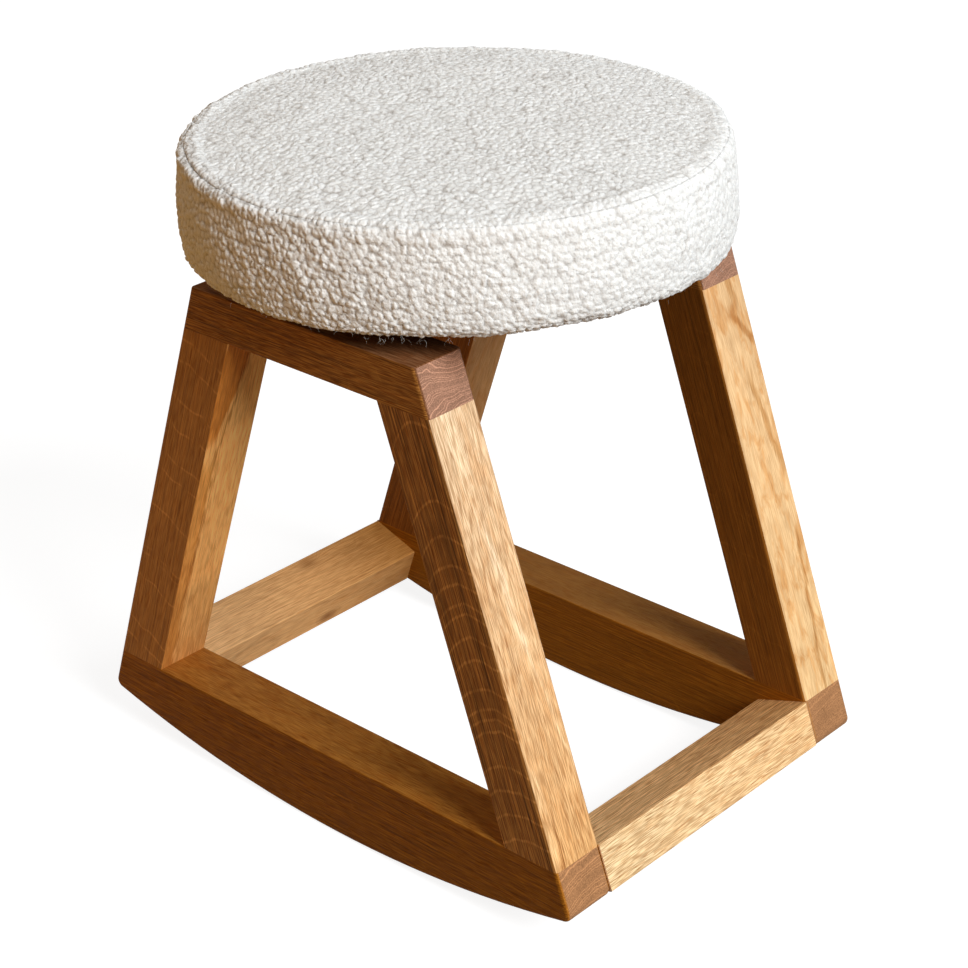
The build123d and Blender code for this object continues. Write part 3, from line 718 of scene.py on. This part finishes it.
def swollen_pad():
    """A coarse pad, blown up a little as cloth while its seams and underside are held. The fine
    pieces of the cover are pushed out to it."""
    angles = np.linspace(0, 2 * math.pi, 144, endpoint=False)
    rings = []
    for share in np.linspace(0, 1, 28)[1:]:
        radius, height, _, _, _ = top_point(np.full(len(angles), share))
        rings.append(in_space(angles, radius, height))
    for share in np.linspace(0, 1, 14)[1:]:
        radius, height, _, _, _ = side_point(angles, np.full(len(angles), share))
        rings.append(in_space(angles, radius, height))
    for radius in (140.0, 120.0, 90.0, 60.0, 30.0):
        rings.append(in_space(angles, np.full(len(angles), radius), np.full(len(angles), PAD_LOW)))
    count = len(angles)
    points = np.concatenate(rings + [in_space(np.zeros(2), np.zeros(2),
                                              np.array([PAD_RIM + PAD_CROWN, PAD_LOW]))])
    faces = [tuple(f) for f in grid_faces(len(rings), count, True)]
    top, low = len(points) - 2, len(points) - 1
    last = (len(rings) - 1) * count
    faces += [(top, k, (k + 1) % count) for k in range(count)]
    faces += [(low, last + (k + 1) % count, last + k) for k in range(count)]
    middle = points.mean(axis=0)
    piece = new_piece("pad_as_cloth", middle + (points - middle) * (0.988, 0.988, 0.975), faces)
    bpy.context.view_layer.objects.active = piece
    piece.select_set(True)
    remesh = piece.modifiers.new("remesh", "REMESH")
    remesh.mode, remesh.voxel_size = "VOXEL", 0.006
    bpy.ops.object.modifier_apply(modifier="remesh")
    rest = np.array([v.co for v in piece.data.vertices]) / MM
    round_middle = np.hypot(*(rest[:, :2] - PAD_MIDDLE).T)
    seam_radius, seam_height, seam_width = 166.0, 442.5, 6.5
    seam = np.hypot(round_middle - seam_radius, rest[:, 2] - seam_height) < seam_width
    held = piece.vertex_groups.new(name="held")
    for index in np.nonzero(seam | (rest[:, 2] < PAD_LOW + 4))[0]:
        held.add([int(index)], 1.0, "REPLACE")
    cloth = piece.modifiers.new("cloth", "CLOTH")
    cloth.settings.quality = 5
    cloth.settings.mass = 0.4
    cloth.settings.use_pressure = True
    cloth.settings.uniform_pressure_force = 4.0
    cloth.settings.effector_weights.gravity = 0.0
    cloth.settings.vertex_group_mass = "held"
    steps = 20
    cloth.point_cache.frame_start, cloth.point_cache.frame_end = 1, steps
    scene = bpy.context.scene
    for step in range(1, steps + 1):
        scene.frame_set(step)
    shaped = piece.evaluated_get(bpy.context.evaluated_depsgraph_get())
    blown = np.array([v.co for v in shaped.data.vertices]) / MM
    move = blown - rest
    far, furthest = np.linalg.norm(move, axis=1, keepdims=True), 6.0
    blown = rest + move * np.minimum(1.0, furthest / np.maximum(far, 1e-6))
    print("pad as cloth: points", len(rest), "moved", far.mean(), "at most", far.max())
    tree = BVHTree.FromPolygons(blown.tolist(), [tuple(p.vertices) for p in piece.data.polygons])
    scene.frame_set(1)
    mesh = piece.data
    bpy.data.objects.remove(piece)
    bpy.data.meshes.remove(mesh)
    return tree


def pushed(tree, points, facing, give):
    """How far the swollen pad stands out of each point, in mm, and at most give either way."""
    reach = 14.0
    out = np.zeros(len(points))
    for k, (point, way) in enumerate(zip(points - facing * reach, facing)):
        hit = tree.ray_cast(Vector(point), Vector(way), 2 * reach)
        if hit[0] is not None:
            out[k] = hit[3] - reach
    return np.clip(out, -give, give)


def cover_surface(angle, radius, height, outward, upward, from_seam, on_top, tree):
    """Adds swelling, seam and loops to base places. Gives points in mm, the way the cloth faces
    there, and a value from 0 to 1 for the colour: the height of its loops, with painted shade
    in their gaps and in the seam groove."""
    near_left, groove_at = 3.89, 4.5       # radians from +X towards +Y
    base = in_space(angle, radius, height)
    facing = np.stack([np.cos(angle) * outward, np.sin(angle) * outward, upward], axis=-1)
    if tree is not None:
        coarse = pushed(tree, base, facing, 3.0)
        base = base + facing * (coarse * np.clip(from_seam / 12.0, 0, 1))[:, None]
    warp = 1.8 * np.stack([Field(seed, 13.0)(base) for seed in (11, 12)], axis=-1) / LOOP
    left = np.clip(0.45 + 0.5 * np.cos(angle - near_left), 0, 1)
    # the loops run on over the seam, and turn into those of the flat top a little way inside it
    finer = 2.3
    around = round(2 * math.pi * PAD_RADIUS / LOOP)
    across = angle / (2 * math.pi) * around + warp[:, 0]
    along = (-from_seam if on_top else from_seam) / (LOOP * 1.1) + warp[:, 1]
    nub = loops(across, along, 21, around)
    small = loops(across * finer, along * finer, 22, round(around * finer))
    low, near = np.clip((radius - 157.0) / 5.0, 0.1, 1), 1.0
    if on_top:
        low, near = 1.0, np.clip((13.0 - from_seam) / 6.0, 0, 1)
        flat = base[:, :2] / (LOOP * 1.08) + 80 + warp
        nub = nub * near + loops(flat[:, 0], flat[:, 1], 23) * (1 - near)
        small = small * near + loops(flat[:, 0] * finer, flat[:, 1] * finer, 24) * (1 - near)
    # the loops stand out most at the near left, with more painted shade in their gaps; on the top
    # they are flatter, with darker gaps that are painted shade too
    rough = 0.95 + 0.25 * left * near
    gap_shade = rough + 0.2 * (1 - near)
    relief = 1.9 * (rough - 0.12 * (1 - near))
    rise = nub + 0.18 * small
    # the seam shows as a broken groove on the near side, also painted darker as painted shade in
    # the crease, and the cloth puffs up beside it
    groove = np.exp(-(from_seam / 1.2) ** 2) * np.clip(
        (np.cos(angle - groove_at) - 0.78) / 0.14, 0, 1)
    groove = groove * np.clip(0.55 + 0.9 * Field(31, 6.0)(base), 0, 1.2)
    swell = (0.5 + 0.5 * near) * (0.5 * Field(32, 9.0)(base) + 0.6 * Field(33, 17.0)(base))
    out = (relief * rise + swell + 0.4 * Field(34, 60.0)(base)) * low
    puff = (0.3 if on_top else 1.3) * left * (1 + 0.8 * Field(35, 7.0)(base))
    out = out - 1.1 * groove + puff * np.exp(-((from_seam - 4.5) / 3.2) ** 2)
    # painted shade: the colour value drops in the gaps between loops and in the seam groove
    nub = np.clip(1 - gap_shade * (1 - rise) - 0.4 * groove, 0, 1)
    return base + facing * out[:, None], facing, nub


def mark(piece, nub):
    """Stores a value from 0 to 1 at each point for the material: mostly the height of the loops,
    with painted shade in their gaps.
    """
    kept = piece.data.attributes.new("nub", "FLOAT", "POINT")
    kept.data.foreach_set("value", nub.astype(np.float32))


def lay_out(piece, corners):
    """Gives the piece its own map of the cloth."""
    layer = piece.data.uv_layers.new(name="OFBake")
    layer.data.foreach_set("uv", corners.astype(np.float32).ravel())


def finish_cover(piece, material, *stands_for):
    piece.data.materials.append(material)
    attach(piece, "root")
    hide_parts(*stands_for)


def cover_top(material, tree, rings=180):
    """The top panel, rings of even triangles, with its rim tucked into the seam."""
    ring = np.repeat(np.arange(1, rings + 1), 6 * np.arange(1, rings + 1))
    first = 1 + 3 * np.arange(rings + 1) * (np.arange(rings + 1) - 1)   # where each ring starts
    first[0] = 0
    place = np.arange(1, len(ring) + 1) - first[ring]
    angle = np.concatenate([[0.0], place * math.pi / 3 / ring])
    share = np.concatenate([[0.0], ring / rings])
    points, facing, nub = cover_surface(angle, *top_point(share), True, tree)

    def spot(r, k):
        return first[r] + k % np.maximum(6 * r, 1)

    sector, step = place // ring, place % ring
    inner = spot(ring - 1, sector * (ring - 1) + step)
    faces = [np.stack([spot(ring, place), spot(ring, place + 1), inner], axis=-1)]
    more = step < ring - 1
    r, s, k = ring[more], sector[more], step[more]
    faces.append(np.stack([spot(r, s * r + k + 1), spot(r - 1, s * (r - 1) + k + 1),
                           spot(r - 1, s * (r - 1) + k)], axis=-1))
    loop = first[rings] + np.arange(6 * rings)
    low = len(points) + np.arange(6 * rings)
    after, low_after = np.roll(loop, -1), np.roll(low, -1)
    faces += [np.stack([loop, low, low_after], axis=-1),
              np.stack([loop, low_after, after], axis=-1)]
    faces = np.concatenate(faces)
    tucked = points[loop] - facing[loop] * TUCK
    piece = new_piece("cover_top", np.concatenate([points, tucked]), faces.tolist())
    # painted shade in the seam: the tucked rim gets a low colour value
    mark(piece, np.concatenate([nub, nub[loop] * 0.3]))
    flat = np.stack([share * np.cos(angle), share * np.sin(angle)], axis=-1)
    flat = 0.485 * np.concatenate([flat * 0.985, flat[loop]]) + 0.5
    lay_out(piece, flat[faces.ravel()])
    finish_cover(piece, material, "cover_top_panel")


def cover_band(material, tree, around=1136, down=84, strips=4):
    """The side band from the seam down and round the lower edge, with its upper rim tucked in."""
    angles = np.arange(around) * 2 * math.pi / around
    share, angle = (m.ravel() for m in np.meshgrid(np.linspace(0, 1, down + 1), angles,
                                                   indexing="ij"))
    points, facing, nub = cover_surface(angle, *side_point(angle, share), False, tree)
    tucked = points[:around] - facing[:around] * TUCK
    faces = grid_faces(down + 2, around, True)
    piece = new_piece("cover_band", np.concatenate([tucked, points]), faces.tolist())
    # painted shade in the seam: the tucked rim gets a low colour value
    mark(piece, np.concatenate([nub[:around] * 0.3, nub]))
    row, column = np.meshgrid(np.arange(down + 1), np.arange(around), indexing="ij")
    row, column = row.ravel(), column.ravel()
    per = around // strips
    strip, place = column // per, column % per
    corners = np.stack([
        np.stack([(place + dx) / per, (strip + 0.01 + 0.98 * (row + dy) / (down + 1)) / strips],
                 axis=-1) for dx, dy in ((0, 0), (0, 1), (1, 1), (1, 0))], axis=1)
    lay_out(piece, corners * 0.98 + 0.01)
    finish_cover(piece, material, "cover_side_band", "wadding_wrap", "foam_core")


def cover_under(material, around=300):
    """The cloth turned under the pad, from the lower edge in to its stapled rim, with a hem."""
    angles = np.arange(around) * 2 * math.pi / around
    start = PAD_RADIUS - bottom_round(angles) - UNDER_EDGE + 1.5
    level = PAD_LOW + UNDER_RISE
    rings = []
    for share in np.linspace(0, 1, 14):
        radius = start + (TURNED_TO - start) * share
        ruffle = 0.2 * np.sin(angles * 37 + 2 * np.sin(angles * 5)) * np.sin(math.pi * share)
        rings.append((radius, level + ruffle))
    rings += [(np.full(around, TURNED_TO + 0.4), np.full(around, level + 1.2)),
              (np.full(around, TURNED_TO + 2.5), np.full(around, level + 2.0))]
    points = np.concatenate([in_space(angles, r, h) for r, h in rings])
    points[:, 2] += 0.2 * Field(41, 7.0)(points)
    faces = grid_faces(len(rings), around, True)
    piece = new_piece("cover_under", points, faces.tolist())
    mark(piece, 0.35 + 0.3 * Field(42, 4.0)(points))
    flat = (points[:, :2] - PAD_MIDDLE) / 360.0 + 0.5
    lay_out(piece, flat[faces.ravel()])
    finish_cover(piece, material, "cover_side_band")


def stray_fibres(material, count=170):
    """Thin ends of yarn that stand off the cover, most of them along its lower edge."""
    random = np.random.default_rng(77)
    steps, sides = 5, 3
    points, faces = [], []
    for k in range(count):
        low = k < count * 0.8
        angle = random.normal(5.2, 0.12) if k % 5 == 0 else random.uniform(0, 2 * math.pi)
        share = random.uniform(0.76, 0.90) if low else random.uniform(0.02, 0.7)
        radius, height, outward, upward, _ = (float(x) for x in side_point(
            np.array(angle), np.array(share)))
        foot = in_space(np.array(angle), np.array(radius), np.array(height))
        way = np.array((math.cos(angle) * outward, math.sin(angle) * outward, upward))
        around = np.array((-math.sin(angle), math.cos(angle), 0.0))
        drop = np.array((0, 0, -1.0 if low else random.uniform(-0.7, 0.7)))
        start = foot + way * 0.6
        reach = random.uniform(1.6, 3.8) if low else random.uniform(1.2, 2.2)
        bend = random.normal(0, 1.0)
        turn = random.normal(0, 0.5)
        spine = []
        for t in np.linspace(0, 1, steps + 1):
            spine.append(start + reach * (way * 0.55 * t + drop * 0.5 * t * t
                                          + around * (turn * t + 0.35 * bend * math.sin(2.5 * t))))
        first = len(points)
        for n, at in enumerate(spine):
            thick = 0.07 * (1 - 0.6 * n / steps)
            for side in range(sides):
                spin = 2 * math.pi * side / sides
                points.append(at + thick * (around * math.cos(spin)
                                            + np.cross(way, around) * math.sin(spin)))
        for n in range(steps):
            for side in range(sides):
                a, b = first + n * sides + side, first + n * sides + (side + 1) % sides
                faces.append((a, b, b + sides, a + sides))
    piece = new_piece("cover_fibres", np.array(points), faces)
    # the fibres get a middling colour value, dimmer than lit loops: painted shade
    mark(piece, np.full(len(points), 0.45))
    piece.data.materials.append(material)
    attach(piece, "root")


def pad():
    material = boucle()
    tree = swollen_pad()
    cover_top(material, tree)
    cover_band(material, tree)
    cover_under(material)
    stray_fibres(material)
    dress("cover_top_panel", material)
    dress("cover_side_band", material)
    dress("wadding_wrap", stuffing("wadding", (0.86, 0.86, 0.84), (0.70, 0.70, 0.68), 0.5))
    dress("foam_core", stuffing("foam", (0.83, 0.77, 0.58), (0.62, 0.55, 0.38), 1.1))


add_camera()
add_stage()
add_world()
add_lamp()
oak_frame()
beech_stock = beech()
for name in ("leg_foot_dowels", "leg_head_dowels", "cross_rail_dowels"):
    dress(name, beech_stock)
birch_ply = plywood()
dress("seat_board", birch_ply)
dress("pad_base", birch_ply)
screw_steel = steel("screw_steel", (0.62, 0.60, 0.55), 0.35)
dress("seat_board_screws", screw_steel)
dress("pad_screws", screw_steel)
staple_steel = steel("staple_steel", (0.56, 0.56, 0.56), 0.4)
dress("cover_staples", staple_steel)
dress("dust_cloth_staples", staple_steel)
dress("dust_cloth", dust_cloth())
pad()

bpy.context.scene.view_settings.view_transform = "Standard"
